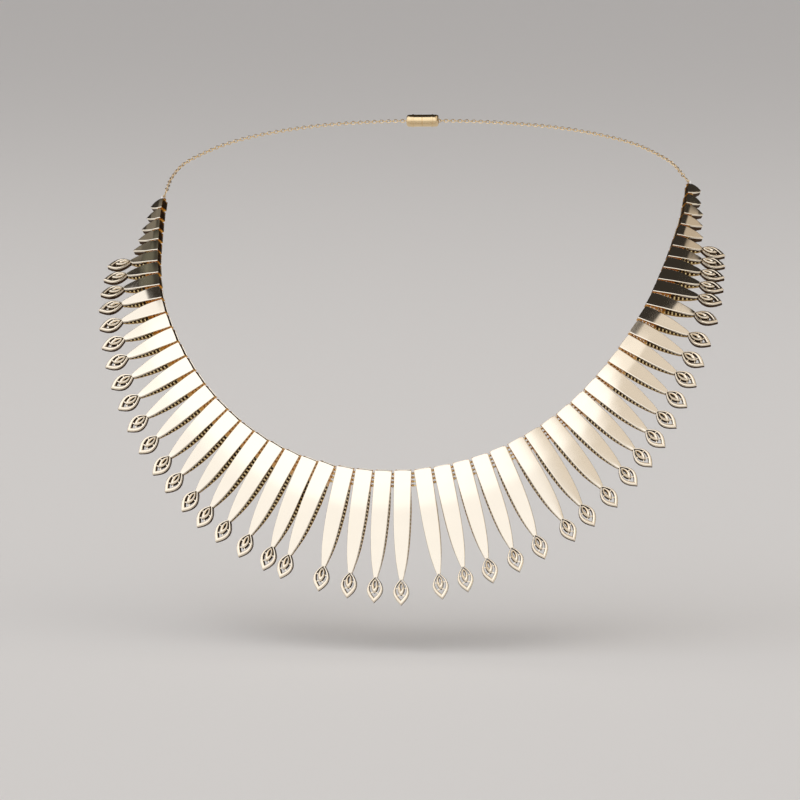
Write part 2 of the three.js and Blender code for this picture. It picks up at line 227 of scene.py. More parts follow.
class NECKLACE_PG_gold(bpy.types.PropertyGroup):
    """Colours and polish of the gold."""

    face: colour_setting("Face", "Gold of the polished faces", (0.95, 0.865, 0.72))
    wall: colour_setting("Walls", "Gold of the side walls and hinges", (0.84, 0.42, 0.08))
    gallery: colour_setting("Galleries", "Toned gold of the pierced galleries", (0.6, 0.37, 0.13))
    # Painted shade: a near-black colour that stands for the shade in recesses, under the face's edge, inside
    # the tips and behind the galleries
    recess: colour_setting("Shade", "Dark gold behind the galleries", (0.09, 0.05, 0.025))
    trim: colour_setting("Tips", "Gold of the pierced tips", (0.97, 0.86, 0.69))
    hinge: colour_setting("Hinges", "Bright gold of the hinge bars", (0.97, 0.76, 0.38))
    chain: colour_setting("Chain", "Gold of the chains and the clasp", (0.9, 0.7, 0.42))
    polish: bpy.props.FloatProperty(
        name="Face Roughness", description="Roughness of the polished faces", default=0.1, subtype="FACTOR"
    )


class NECKLACE_PG_stage(bpy.types.PropertyGroup):
    """The floor, the lights and the camera."""

    floor: colour_setting("Floor", "Colour of the floor", (0.72, 0.71, 0.7))
    drop: length_setting("Floor Drop", "How far the floor lies below the necklace", 0.012)
    sweep: bpy.props.FloatProperty(
        name="Sweep", description="Brightness of the wide source in front and on the left", default=1.06
    )
    bloom: bpy.props.FloatProperty(
        name="Bloom", description="How much brighter the sweep is at its upper middle", default=0.24
    )
    room: bpy.props.FloatProperty(
        name="Room", description="Brightness of the room where there is no source", default=0.035
    )
    overhead: bpy.props.FloatProperty(
        name="Overhead", description="Brightness of the light over the floor", default=0.7
    )
    azimuth: bpy.props.FloatProperty(
        name="Camera Azimuth", description="How far the camera stands round to the right",
        default=math.radians(8.62), subtype="ANGLE", unit="ROTATION",
    )
    elevation: bpy.props.FloatProperty(
        name="Camera Elevation", description="How far the camera stands above the necklace",
        default=math.radians(7.11), subtype="ANGLE", unit="ROTATION",
    )
    distance: length_setting("Camera Distance", "From the camera to the front of the necklace", 1.2)
    lens: bpy.props.FloatProperty(name="Lens", description="Focal length in millimetres", default=207.1)


# The neckline


def between(rows, key, column, at):
    """The value of one column of a table at a place between two rows."""
    if at <= rows[0][key]:
        return rows[0][column]
    for low, high in zip(rows, rows[1:]):
        if at < high[key]:
            share = (at - low[key]) / (high[key] - low[key])
            return low[column] + (high[column] - low[column]) * share
    return rows[-1][column]


def smooth(rows, key, column, at):
    """The same along a smooth curve that never overshoots its rows."""
    if at <= rows[0][key]:
        return rows[0][column]
    if at >= rows[-1][key]:
        return rows[-1][column]
    spans = [(high[key] - low[key]) for low, high in zip(rows, rows[1:])]
    slopes = [(high[column] - low[column]) / span for low, high, span in zip(rows, rows[1:], spans)]
    index = next(number for number, row in enumerate(rows) if row[key] > at) - 1

    def tangent(row):
        if row == 0:
            return slopes[0]
        if row == len(rows) - 1:
            return slopes[-1]
        before, after = slopes[row - 1], slopes[row]
        if before * after <= 0:
            return 0
        return 2 * before * after / (before + after)

    span = spans[index]
    share = (at - rows[index][key]) / span
    rest = 1 - share
    start = rows[index][column]
    end = rows[index + 1][column]
    curve = start * (1 + 2 * share) * rest * rest + end * (3 - 2 * share) * share * share
    bend = tangent(index) * share * rest * rest - tangent(index + 1) * share * share * rest
    return curve + bend * span


def heading(arc):
    """Direction of the neckline, which climbs by turn and runs back by back."""
    turn = math.radians(between(NECKLINE, "arc", "turn", arc))
    back = math.radians(between(NECKLINE, "arc", "back", arc))
    return Vector((math.cos(turn) * math.cos(back), math.sin(back), math.sin(turn) * math.cos(back)))


def walk_neckline():
    """Points of the neckline, one each step, from its lowest point to the nape."""
    points = [LOWEST_POINT.copy()]
    steps = math.ceil(LOOP_LENGTH / 2 / WALK_STEP)
    for step in range(steps):
        points.append(points[-1] + heading((step + 0.5) * WALK_STEP) * WALK_STEP)
    return points


NECK_POINTS = walk_neckline()


def on_neckline(distance):
    """Point, direction and arc at a distance from the lowest point, either way round."""
    half = LOOP_LENGTH / 2
    wrapped = distance - LOOP_LENGTH if distance > half else distance
    arc = min(abs(wrapped), half)
    index = min(int(arc / WALK_STEP), len(NECK_POINTS) - 2)
    point = NECK_POINTS[index].lerp(NECK_POINTS[index + 1], arc / WALK_STEP - index)
    along = heading(arc)
    if wrapped < 0:
        point.x = -point.x
        along = Vector((along.x, -along.y, -along.z))
    return point, along, arc


def frame_on_neckline(distance, swing_degrees):
    """A frame in metres: +X runs along the neckline, -Z hangs down from it, -Y faces outwards."""
    point, along, arc = on_neckline(distance)
    lean = math.radians(between(NECKLINE, "arc", "lean", arc))
    swing = math.radians(swing_degrees)
    outwards = along.cross(Vector((0, -1, 0))).normalized()
    face = outwards.cross(along).normalized()
    down = outwards * math.cos(lean) + face * math.sin(lean)
    swung = down * math.cos(swing) + along * math.sin(swing)
    across = along * math.cos(swing) - down * math.sin(swing)
    up = -swung
    behind = up.cross(across)
    basis = Matrix((across, behind, up)).transposed().to_4x4()
    return Matrix.Translation(point * MM) @ basis


def link_place(place):
    """Frame of the link at a place counted from the middle, negative to the left."""
    return frame_on_neckline(place * PITCH + SLIP, between(SWINGS, "place", "swing", place))


def link_name(place):
    """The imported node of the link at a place."""
    side = "left" if place < 0 else "right"
    distance = abs(place)
    if distance == 0:
        return "fringe_link_centre"
    if distance <= TIPPED_EACH_SIDE:
        return f"fringe_link_{side}_{distance:02d}"
    return f"plain_link_{side}_{distance - TIPPED_EACH_SIDE}"


# Meshes


class Shape:
    """Points in metres and faces with the number of their finish."""

    def __init__(self):
        self.points = []
        self.faces = []
        self.finishes = []

    def add(self, points, faces, finish=0):
        """Adds one body."""
        first = len(self.points)
        self.points.extend(Vector(point) for point in points)
        self.faces.extend([first + corner for corner in face] for face in faces)
        self.finishes.extend(finish if isinstance(finish, list) else [finish] * len(faces))

    def mesh(self, name, materials):
        """A mesh with its faces turned outwards."""
        made = bpy.data.meshes.new(name)
        made.from_pydata(self.points, [], self.faces)
        made.polygons.foreach_set("material_index", self.finishes)
        for material in materials:
            made.materials.append(material)
        turned = bmesh.new()
        turned.from_mesh(made)
        bmesh.ops.recalc_face_normals(turned, faces=turned.faces)
        turned.to_mesh(made)
        turned.free()
        return made


def section_finishes(rings, shaded_sides):
    """The finishes of a body that goes round through rings, with painted shade on the section's dark sides.
    """
    size = len(rings[0])
    return [PAINTED_SHADE if corner in shaded_sides else TRIM for ring in rings for corner in range(size)]


def loft(rings, round_trip=False):
    """A closed body through rings of equal numbers of points, or round through them all."""
    size = len(rings[0])
    points = [point for ring in rings for point in ring]
    faces = []
    spans = len(rings) if round_trip else len(rings) - 1
    for ring in range(spans):
        here = ring * size
        there = (ring + 1) % len(rings) * size
        for corner in range(size):
            after = (corner + 1) % size
            faces.append((here + corner, there + corner, there + after, here + after))
    if not round_trip:
        last = (len(rings) - 1) * size
        faces.append(tuple(range(size)))
        faces.append(tuple(last + corner for corner in reversed(range(size))))
    return points, faces


def thick_grid(outer, inner, finish_at):
    """A sheet between two grids of points, with each face's finish, and open where a cell has none."""
    rows = len(outer)
    columns = len(outer[0])
    points = [point for grid in (outer, inner) for line in grid for point in line]
    shift = rows * columns
    faces = []
    finishes = []

    def cell(row, column):
        inside = 0 <= row < rows - 1 and 0 <= column < columns - 1
        return finish_at(row, column) if inside else None

    for row in range(rows - 1):
        for column in range(columns - 1):
            if cell(row, column) is None:
                continue
            a = row * columns + column
            b = a + 1
            c = a + columns + 1
            d = a + columns
            faces.append((a, b, c, d))
            faces.append((d + shift, c + shift, b + shift, a + shift))
            borders = (
                (row - 1, column, a, b),
                (row, column + 1, b, c),
                (row + 1, column, c, d),
                (row, column - 1, d, a),
            )
            for other_row, other_column, start, end in borders:
                if cell(other_row, other_column) is None:
                    faces.append((end, start, start + shift, end + shift))
            finishes.extend([cell(row, column)] * (len(faces) - len(finishes)))
    return points, faces, finishes


def block(low, high):
    """A box between two corners."""
    rings = [
        [(low[0], low[1], z), (high[0], low[1], z), (high[0], high[1], z), (low[0], high[1], z)]
        for z in (low[2], high[2])
    ]
    return loft(rings)


def torus(radius, wire_radius, sides, wire_sides):
    """A ring round Z."""
    rings = []
    for side in range(sides):
        angle = 2 * math.pi * side / sides
        ring = []
        for corner in range(wire_sides):
            turn = 2 * math.pi * corner / wire_sides
            reach = radius + wire_radius * math.cos(turn)
            ring.append((reach * math.cos(angle), reach * math.sin(angle), wire_radius * math.sin(turn)))
        rings.append(ring)
    return loft(rings, round_trip=True)


def turned_bar(profile, sides):
    """A bar turned round X through pairs of place and radius."""
    rings = []
    for x, radius in profile:
        turns = [2 * math.pi * side / sides for side in range(sides)]
        rings.append([(x, radius * math.cos(turn), radius * math.sin(turn)) for turn in turns])
    return loft(rings)


def placed(body, matrix):
    """A body moved by a matrix."""
    points, faces = body
    return [matrix @ Vector(point) for point in points], faces


def finish_piece(name, mesh, slot, *nodes):
    """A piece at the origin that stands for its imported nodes."""
    mesh.name = name
    mesh.polygons.foreach_set("use_smooth", [True] * len(mesh.polygons))
    mesh.set_sharp_from_angle(angle=SMOOTH_ANGLE)
    piece = bpy.data.objects.new(name, mesh)
    bpy.context.scene.collection.objects.link(piece)
    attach(piece, "root")
    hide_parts(*nodes)
    return piece


# Geometry node trees


def new_tree(name, *inputs):
    """An empty geometry tree and the ends of its wiring."""
    tree = bpy.data.node_groups.new(name, "GeometryNodeTree")
    face = tree.interface
    face.new_socket(name="Geometry", in_out="INPUT", socket_type="NodeSocketGeometry")
    for label, kind in inputs:
        face.new_socket(name=label, in_out="INPUT", socket_type=kind)
    face.new_socket(name="Geometry", in_out="OUTPUT", socket_type="NodeSocketGeometry")
    source = tree.nodes.new("NodeGroupInput")
    result = tree.nodes.new("NodeGroupOutput")
    return tree, source, result


def node(tree, kind, settings=None, **inputs):
    """A node with its settings, and with its inputs linked or given values."""
    made = tree.nodes.new(kind)
    for setting, value in (settings or {}).items():
        setattr(made, setting, value)
    for label, value in inputs.items():
        wire(tree, value, made.inputs[label.replace("_", " ")])
    return made


def wire(tree, value, socket):
    """Links a socket to another, or gives it a value."""
    if isinstance(value, bpy.types.NodeSocket):
        tree.links.new(value, socket)
    else:
        socket.default_value = value


def calculated(tree, operation, *values):
    """The result of a math node."""
    made = node(tree, "ShaderNodeMath", {"operation": operation})
    for value, socket in zip(values, made.inputs):
        wire(tree, value, socket)
    return made.outputs["Value"]


def apply_tree(mesh, tree, values):
    """The plain mesh that a tree makes of a mesh."""
    holder = bpy.data.objects.new(mesh.name + "_source", mesh)
    bpy.context.scene.collection.objects.link(holder)
    modifier = holder.modifiers.new(tree.name, "NODES")
    modifier.node_group = tree
    for item in tree.interface.items_tree:
        if item.item_type == "SOCKET" and item.in_out == "INPUT" and item.name in values:
            modifier[item.identifier] = values[item.name]
    shown = holder.evaluated_get(bpy.context.evaluated_depsgraph_get())
    made = bpy.data.meshes.new_from_object(shown)
    bpy.data.objects.remove(holder)
    bpy.data.meshes.remove(mesh)
    return made


def gallery_tree():
    """Stands posts along the paths of a link's two galleries."""
    name = "Side Gallery"
    if name in bpy.data.node_groups:
        return bpy.data.node_groups[name]
    tree, source, result = new_tree(
        name,
        ("Post Spacing", "NodeSocketFloat"),
        ("Post Width", "NodeSocketFloat"),
        ("Post Thickness", "NodeSocketFloat"),
        ("Finish", "NodeSocketMaterial"),
    )
    given = source.outputs
    marked = node(tree, "GeometryNodeInputNamedAttribute", {"data_type": "BOOLEAN"}, Name="gallery")
    split = node(
        tree, "GeometryNodeSeparateGeometry", {"domain": "POINT"}, Geometry=given["Geometry"],
        Selection=marked.outputs["Attribute"],
    )
    path = node(tree, "GeometryNodeMeshToCurve", Mesh=split.outputs["Selection"])
    spaced = node(
        tree, "GeometryNodeResampleCurve", {"mode": "LENGTH"}, Curve=path.outputs["Curve"],
        Length=given["Post Spacing"],
    )
    size = node(tree, "ShaderNodeCombineXYZ", X=given["Post Thickness"], Y=1.0, Z=given["Post Width"])
    post = node(tree, "GeometryNodeMeshCube", Size=size.outputs["Vector"])
    reach = node(tree, "GeometryNodeInputNamedAttribute", {"data_type": "FLOAT"}, Name="reach")
    stretch = node(tree, "ShaderNodeCombineXYZ", X=1.0, Y=reach.outputs["Attribute"], Z=1.0)
    tangent = node(tree, "GeometryNodeInputTangent")
    along = node(
        tree, "FunctionNodeAlignRotationToVector", {"axis": "Z"}, Vector=tangent.outputs["Tangent"]
    )
    upright = node(
        tree, "FunctionNodeAlignRotationToVector", {"axis": "Y", "pivot_axis": "Z"},
        Rotation=along.outputs["Rotation"], Vector=(0.0, 1.0, 0.0),
    )
    posts = node(
        tree, "GeometryNodeInstanceOnPoints", Points=spaced.outputs["Curve"], Instance=post.outputs["Mesh"],
        Rotation=upright.outputs["Rotation"], Scale=stretch.outputs["Vector"],
    )
    real = node(tree, "GeometryNodeRealizeInstances", Geometry=posts.outputs["Instances"])
    coloured = node(
        tree, "GeometryNodeSetMaterial", Geometry=real.outputs["Geometry"], Material=given["Finish"]
    )
    joined = node(tree, "GeometryNodeJoinGeometry")
    tree.links.new(coloured.outputs["Geometry"], joined.inputs["Geometry"])
    tree.links.new(split.outputs["Inverted"], joined.inputs["Geometry"])
    tree.links.new(joined.outputs["Geometry"], result.inputs["Geometry"])
    return tree


def chain_tree():
    """Hangs oval wire links along a path, each turned a quarter from the one before."""
    name = "Cable Chain"
    if name in bpy.data.node_groups:
        return bpy.data.node_groups[name]
    tree, source, result = new_tree(
        name,
        ("Pitch", "NodeSocketFloat"),
        ("Half Length", "NodeSocketFloat"),
        ("Half Width", "NodeSocketFloat"),
        ("Wire Radius", "NodeSocketFloat"),
        ("Sides", "NodeSocketInt"),
        ("Wire Sides", "NodeSocketInt"),
        ("Finish", "NodeSocketMaterial"),
    )
    given = source.outputs
    path = node(tree, "GeometryNodeMeshToCurve", Mesh=given["Geometry"])
    spaced = node(
        tree, "GeometryNodeResampleCurve", {"mode": "LENGTH"}, Curve=path.outputs["Curve"],
        Length=given["Pitch"],
    )
    circle = node(tree, "GeometryNodeCurvePrimitiveCircle", Resolution=given["Sides"], Radius=1.0)
    size = node(tree, "ShaderNodeCombineXYZ", X=given["Half Length"], Y=given["Half Width"], Z=1.0)
    oval = node(
        tree, "GeometryNodeTransform", Geometry=circle.outputs["Curve"], Scale=size.outputs["Vector"]
    )
    section = node(
        tree, "GeometryNodeCurvePrimitiveCircle", Resolution=given["Wire Sides"],
        Radius=given["Wire Radius"],
    )
    link = node(
        tree, "GeometryNodeCurveToMesh", Curve=oval.outputs["Geometry"],
        Profile_Curve=section.outputs["Curve"],
    )
    tangent = node(tree, "GeometryNodeInputTangent")
    along = node(
        tree, "FunctionNodeAlignRotationToVector", {"axis": "X"}, Vector=tangent.outputs["Tangent"]
    )
    upright = node(tree, "GeometryNodeInputNamedAttribute", {"data_type": "FLOAT_VECTOR"}, Name="upright")
    steady = node(
        tree, "FunctionNodeAlignRotationToVector", {"axis": "Y", "pivot_axis": "X"},
        Rotation=along.outputs["Rotation"], Vector=upright.outputs["Attribute"],
    )
    number = node(tree, "GeometryNodeInputIndex")
    odd = calculated(tree, "MODULO", number.outputs["Index"], 2)
    quarter = calculated(tree, "MULTIPLY", odd, math.pi / 2)
    roll = node(tree, "ShaderNodeCombineXYZ", X=quarter)
    turned = node(
        tree, "FunctionNodeRotateRotation", {"rotation_space": "LOCAL"}, Rotation=steady.outputs["Rotation"],
        Rotate_By=roll.outputs["Vector"],
    )
    links = node(
        tree, "GeometryNodeInstanceOnPoints", Points=spaced.outputs["Curve"], Instance=link.outputs["Mesh"],
        Rotation=turned.outputs["Rotation"],
    )
    real = node(tree, "GeometryNodeRealizeInstances", Geometry=links.outputs["Instances"])
    coloured = node(
        tree, "GeometryNodeSetMaterial", Geometry=real.outputs["Geometry"], Material=given["Finish"]
    )
    tree.links.new(coloured.outputs["Geometry"], result.inputs["Geometry"])
    return tree


# Finishes


# Each gold: the setting of its colour, its darker parts as a share of that, its roughness, how far that
# varies, and the height of its waves in metres. A roughness of 0 stands for the setting.
GOLDS = table(
    "name colour deeper roughness spread waviness",
    ("polished_face_gold", "face", 0.96, 0, 0.025, 2.5e-6),
    ("wall_gold", "wall", 0.7, 0.28, 0.08, 1.2e-5),
    ("gallery_gold", "gallery", 0.5, 0.34, 0.1, 1.6e-5),
    # Painted shade: the next gold is near-black and stands for shade in recesses and openings
    ("recess_gold", "recess", 0.6, 0.5, 0.1, 1.2e-5),
    ("hinge_gold", "hinge", 0.8, 0.16, 0.04, 4e-6),
    ("trim_gold", "trim", 0.92, 0.17, 0.04, 3e-6),
    ("chain_wire_gold", "chain", 0.8, 0.2, 0.05, 4e-6),
    ("clasp_barrel_gold", "chain", 0.9, 0.16, 0.04, 3e-6),
)
CLOUD_SCALE = 260.0
LINES_SCALE = 900.0
LINES_STRETCH = (6.0, 2.0, 1.0)
LINES_SHARE = 0.15
SWELL_SCALE = 420.0
RELIEF_STRENGTH = 0.6


def gold(name):
    """Gold whose colour, polish and surface vary a little, with fine polishing lines."""
    if name in bpy.data.materials:
        return bpy.data.materials[name]
    settings = bpy.context.scene.necklace_gold
    row = next(row for row in GOLDS if row["name"] == name)
    colour = tuple(getattr(settings, row["colour"]))
    roughness = row["roughness"] or settings.polish
    made = bpy.data.materials.new(name)
    made.use_nodes = True
    tree = made.node_tree
    shader = tree.nodes["Principled BSDF"]
    shader.inputs["Metallic"].default_value = 1.0
    place = node(tree, "ShaderNodeTexCoord").outputs["Object"]
    cloud = node(tree, "ShaderNodeTexNoise", Vector=place, Scale=CLOUD_SCALE, Detail=2.0)
    tone = node(tree, "ShaderNodeMix", {"data_type": "RGBA"})
    wire(tree, cloud.outputs["Fac"], tone.inputs["Factor"])
    wire(tree, (*colour, 1.0), tone.inputs["A"])
    wire(tree, (*(part * row["deeper"] for part in colour), 1.0), tone.inputs["B"])
    wire(tree, tone.outputs["Result"], shader.inputs["Base Color"])
    stretch = node(tree, "ShaderNodeMapping", {"vector_type": "POINT"}, Vector=place, Scale=LINES_STRETCH)
    lines = node(
        tree, "ShaderNodeTexNoise", Vector=stretch.outputs["Vector"], Scale=LINES_SCALE, Detail=3.0
    )
    polish = node(
        tree, "ShaderNodeMapRange", Value=lines.outputs["Fac"], From_Min=0.3, From_Max=0.7,
        To_Min=roughness - row["spread"], To_Max=roughness + row["spread"],
    )
    wire(tree, polish.outputs["Result"], shader.inputs["Roughness"])
    swell = node(tree, "ShaderNodeTexNoise", Vector=place, Scale=SWELL_SCALE, Detail=1.0)
    both = calculated(tree, "MULTIPLY_ADD", lines.outputs["Fac"], LINES_SHARE, swell.outputs["Fac"])
    relief = node(
        tree, "ShaderNodeBump", Height=both, Distance=row["waviness"], Strength=RELIEF_STRENGTH
    )
    wire(tree, relief.outputs["Normal"], shader.inputs["Normal"])
    return made


# One link, in its own frame: top edge at z 0, front at y 0

# The finishes of a link's faces, in the order of the golds
FACE, WALL, GALLERY, PAINTED_SHADE, HINGE, TRIM = range(6)

# The sides of the tip's sections that take painted shade: the rim's groove and the outer side behind it, the
# walls inside its opening and its back; the ring's outer side, the walls of its slot and its back
RIM_PAINTED_SHADE = (0, 1, 2, 3, 11, 12)
RING_PAINTED_SHADE = (0, 6, 7)
FACE_STEPS = 30
WALL_STEPS = 24
ACROSS = (-1, -0.96, -0.4, 0.4, 0.96, 1)
EDGE_TURNS = (30, 60, 90)


class Blade:
    """The form of one blade."""

    def __init__(self, place):
        sizes = bpy.context.scene.necklace_link
        marquise = bpy.context.scene.necklace_marquise
        self.sizes = sizes
        self.place = place
        self.tipped = abs(place) <= TIPPED_EACH_SIDE
        self.rows = TIPPED_BLADE if self.tipped else PLAIN_BLADE
        lengths = LENGTHS if self.tipped else PLAIN_LENGTHS
        total = between(lengths, "place", "length", abs(place)) * MM
        self.length = total - marquise.length if self.tipped else total

    def half(self, down):
        """Half the width at a share of the blade's length."""
        half = smooth(self.rows, "down", "width", down) * self.sizes.width / 2
        if not self.tipped:
            return half
        tapered = min(1, max(0, (abs(self.place) - TAPER_FROM) / (TAPER_FULL - TAPER_FROM)))
        return half * (1 - tapered * (1 - smooth(TAPER, "down", "keep", down)))

    def front(self, down):
        """The face's place in front of the link's front plane."""
        return -smooth(self.rows, "down", "bulge", down) * self.length

    def back(self, down):
        """The back edge of the side walls."""
        belly = smooth(self.rows, "down", "belly", down) * self.length
        return smooth(self.rows, "down", "depth", down) * self.sizes.depth + belly

    def top(self, share):
        """How far the top edge lies below the back rim, at a share of the half width."""
        return self.sizes.top_gap + self.sizes.arch * share * share

    def height(self, down, start):
        """Height of a point whose line down the blade starts at this drop."""
        return -(start + down * (self.length - start))


def face_ring(blade, down):
    """One ring round the face sheet: its crowned front, rounded edges and flat back."""
    sizes = blade.sizes
    half = blade.half(down)
    front = blade.front(down)
    edge = min(sizes.edge, half * 0.4)
    flat = half - edge
    ring = [(share * flat, front - sizes.crown * (1 - share * share)) for share in ACROSS]
    for turn in EDGE_TURNS:
        angle = math.radians(turn)
        ring.append((flat + edge * math.sin(angle), front + edge * (1 - math.cos(angle))))
    ring.append((half, front + sizes.sheet))
    ring.append((-half, front + sizes.sheet))
    for turn in reversed(EDGE_TURNS):
        angle = math.radians(turn)
        ring.append((-flat - edge * math.sin(angle), front + edge * (1 - math.cos(angle))))
    return [(x, y, blade.height(down, blade.top(x / half))) for x, y in ring]


def add_face(shape, blade):
    """The polished face, bent lengthwise in a long shallow curve."""
    rings = [face_ring(blade, step / FACE_STEPS) for step in range(FACE_STEPS + 1)]
    shape.add(*loft(rings), FACE)


def add_top(shape, blade):
    """The sheet's turned top, which slopes to a thin rim at the back."""
    sizes = blade.sizes
    depth = sizes.depth
    rim = 0.34 * MM
    lift = 0.17 * MM
    thick = 0.4 * MM
    below = 0.04 * MM
    bevel = 0.03 * MM
    half_steps = 4
    rings = []
    for step in range(2 * half_steps + 1):
        share = step / half_steps - 1
        start = -blade.top(share) - below
        section = (
            (sizes.edge * 1.5, start),
            (depth - rim, -lift),
            (depth - rim, -bevel),
            (depth - rim + bevel, 0),
            (depth - bevel, 0),
            (depth, -bevel),
            (depth, -lift - thick),
            (depth - rim, -lift - thick),
            (sizes.edge * 1.5, start - thick),
        )
        ring = []
        for y, z in section:
            half = sizes.width / 2 - sizes.overhang - sizes.draft * y / depth
            ring.append((share * half, y, z))
        rings.append(ring)
    # Painted shade: the slope from the face's top edge back to the rim is dark, for the shadowed gap along
    # the top
    sides = [PAINTED_SHADE, *[FACE] * 5, *[WALL] * 3] * (len(rings) - 1)
    shape.add(*loft(rings), [*sides, WALL, WALL])


def slots_before(blade):
    """Where the bars of the link before come through the left wall: heights along the link."""
    place = blade.place
    if place <= -LAST_PLACE:
        return []
    to_here = link_place(place).inverted() @ link_place(place - 1)
    x = (PITCH * MM) - blade.sizes.width / 2
    found = []
    for row in hinge_bars(place - 1):
        point = to_here @ Vector((x, HINGE_BEHIND * MM, -row["down"] * MM))
        found.append(-point.z)
    return found


def hinge_bars(place):
    """The hinge bars between a link and the next one."""
    reach = max(abs(place), abs(place + 1))
    return TIPPED_BARS if reach <= TIPPED_EACH_SIDE else PLAIN_BARS


def wall_point(blade, side, down, y, inset):
    """A point of a side wall: inset goes inwards from its outer surface."""
    sizes = blade.sizes
    reach = (y - blade.front(down)) / (blade.back(down) - blade.front(down))
    lean = between(WALL_LEANS, "down", "lean", down)
    narrowing = sizes.draft * lean * blade.half(down) / (sizes.width / 2) * reach
    half = max(blade.half(down) - sizes.overhang - narrowing - inset, 0.02 * MM)
    drop = blade.top(1) * max(0, 1 - y / sizes.depth)
    return (side * half, y, blade.height(down, drop))


# The side walls: most of a blade's length that isn't pierced, where the piercing ends, how much of a plain
# link's wall is bright (below that it takes painted shade), least distance between two stations as shares of
# the length, steps of a gallery's path, and in millimetres half a slot's height, how far a wall is tucked
# into the face, and where its dark sheet of painted shade lies behind the openings and laps over the rails
MOST_SOLID = 0.42
PIERCED_TO = 0.96
PLAIN_SOLID = 0.45
STATION_ROOM = 0.012
PATH_STEPS = 12
SLOT_HALF = 0.36
TUCK = 0.03
SHADE_SHEET = (0.02, 0.14)
SHADE_SHEET_LAP = 0.1


def add_walls(shape, blade, paths):
    """The two side walls: solid at the top with slots for the hinge, and railed below for the gallery."""
    sizes = blade.sizes
    gallery = bpy.context.scene.necklace_gallery
    slot_half = SLOT_HALF * MM
    slots = slots_before(blade)
    pierced_from = min(gallery.solid / blade.length, MOST_SOLID) if blade.tipped else 1
    solid_to = pierced_from if blade.tipped else PLAIN_SOLID
    for side in (-1, 1):
        edges = [(slot - slot_half, slot + slot_half) for slot in slots] if side < 0 else []
        cuts = [value / blade.length for pair in edges for value in pair]
        stations = [step / WALL_STEPS for step in range(WALL_STEPS + 1)]
        taken = (*cuts, pierced_from)
        stations = [at for at in stations if all(abs(at - cut) > STATION_ROOM for cut in taken)]
        stations = sorted([*stations, *taken])
        outer = []
        inner = []
        for down in stations:
            front = blade.front(down)
            lines = (
                front + sizes.sheet - TUCK * MM,
                front + sizes.sheet + gallery.painted_shadow_line,
                front + sizes.sheet + gallery.front_rail,
                blade.back(down) - gallery.back_rail,
                blade.back(down),
            )
            outer.append([wall_point(blade, side, down, y, 0) for y in lines])
            inner.append([wall_point(blade, side, down, y, sizes.wall) for y in lines])

        def finish_at(row, column):
            middle = (stations[row] + stations[row + 1]) / 2
            if column == 2 and any(low < middle * blade.length < high for low, high in edges):
                return None
            if middle < solid_to:
                return WALL
            if column == 2 and pierced_from < middle < PIERCED_TO:
                return None
            # Painted shade: the band under the face and the front rail, and all the lower wall of a plain
            # link
            return PAINTED_SHADE if column < 2 or not blade.tipped else GALLERY

        shape.add(*thick_grid(outer, inner, finish_at))
        if not blade.tipped:
            continue
        stretch = [at for at in stations if pierced_from <= at <= PIERCED_TO]
        # Painted shade: a dark sheet just inside the wall, so the gallery's openings show shade instead of
        # what lies behind
        shade_sheet = []
        for behind in SHADE_SHEET:
            inset = sizes.wall + behind * MM
            shade_sheet.append([])
            for down in stretch:
                low = blade.front(down) + sizes.sheet + gallery.front_rail - SHADE_SHEET_LAP * MM
                high = blade.back(down) - gallery.back_rail + SHADE_SHEET_LAP * MM
                shade_sheet[-1].append([wall_point(blade, side, down, y, inset) for y in (low, high)])
        shape.add(*thick_grid(*shade_sheet, lambda row, column: PAINTED_SHADE))
        path = []
        for step in range(PATH_STEPS + 1):
            down = pierced_from + (PIERCED_TO - pierced_from) * step / PATH_STEPS
            low = blade.front(down) + sizes.sheet + gallery.front_rail
            high = blade.back(down) - gallery.back_rail
            path.append((wall_point(blade, side, down, (low + high) / 2, sizes.wall / 2), high - low))
        paths.append(path)


# The hinge bars in millimetres: how far one reaches behind the next wall, its head's length, the bead's
# sloped flank and the shares of the bead's radius there
BAR_REACH = 0.85
HEAD_LENGTH = 0.2
HEAD_SLOPE = 0.06
NECK_LENGTH = 0.1
BEAD_FLANK = 0.12
BEAD_SHOULDER = 0.86
BEAD_GAP = 0.02
BAR_SIDES = 10


def add_hinge(shape, blade):
    """The bars that reach through the next link's wall, each with a head behind it."""
    place = blade.place
    if place >= LAST_PLACE:
        return
    sizes = blade.sizes
    start = sizes.width / 2 - sizes.overhang - sizes.wall
    next_wall = PITCH * MM - sizes.width / 2
    end = next_wall + BAR_REACH * MM
    hinge = bpy.context.scene.necklace_hinge
    gap_start = sizes.width / 2 - sizes.overhang
    gap_end = next_wall + sizes.overhang
    flank = BEAD_FLANK * MM
    profile = (
        (start, hinge.radius),
        (gap_start, hinge.radius),
        (gap_start + flank, hinge.bead * BEAD_SHOULDER),
        ((gap_start + gap_end) / 2, hinge.bead),
        (gap_end - flank, hinge.bead * BEAD_SHOULDER),
        (gap_end - BEAD_GAP * MM, hinge.radius),
        (end - NECK_LENGTH * MM, hinge.radius),
        (end - HEAD_SLOPE * MM, hinge.head),
        (end + HEAD_LENGTH * MM, hinge.head),
    )
    for row in hinge_bars(place):
        middle = Matrix.Translation((0, HINGE_BEHIND * MM, -row["down"] * MM))
        shape.add(*placed(turned_bar(profile, BAR_SIDES), middle), HINGE)


# The bridges between a tip's rim and its inner ring, from the tip's middle
BRIDGES = table("across along reach tilt", (1.12, 0.9, 0.38, 0), (0.6, -0.9, 0.46, 27))
BRIDGE_FRONT = 0.2
BRIDGE_BACK = 0.7
BRIDGE_HALF = 0.13

# How full the sides of the tip's ovals are: less than 1 is fuller than a parabola, more is straighter
RIM_FULLNESS = 1.12
RING_FULLNESS = 0.8
OVAL_STEPS = 14


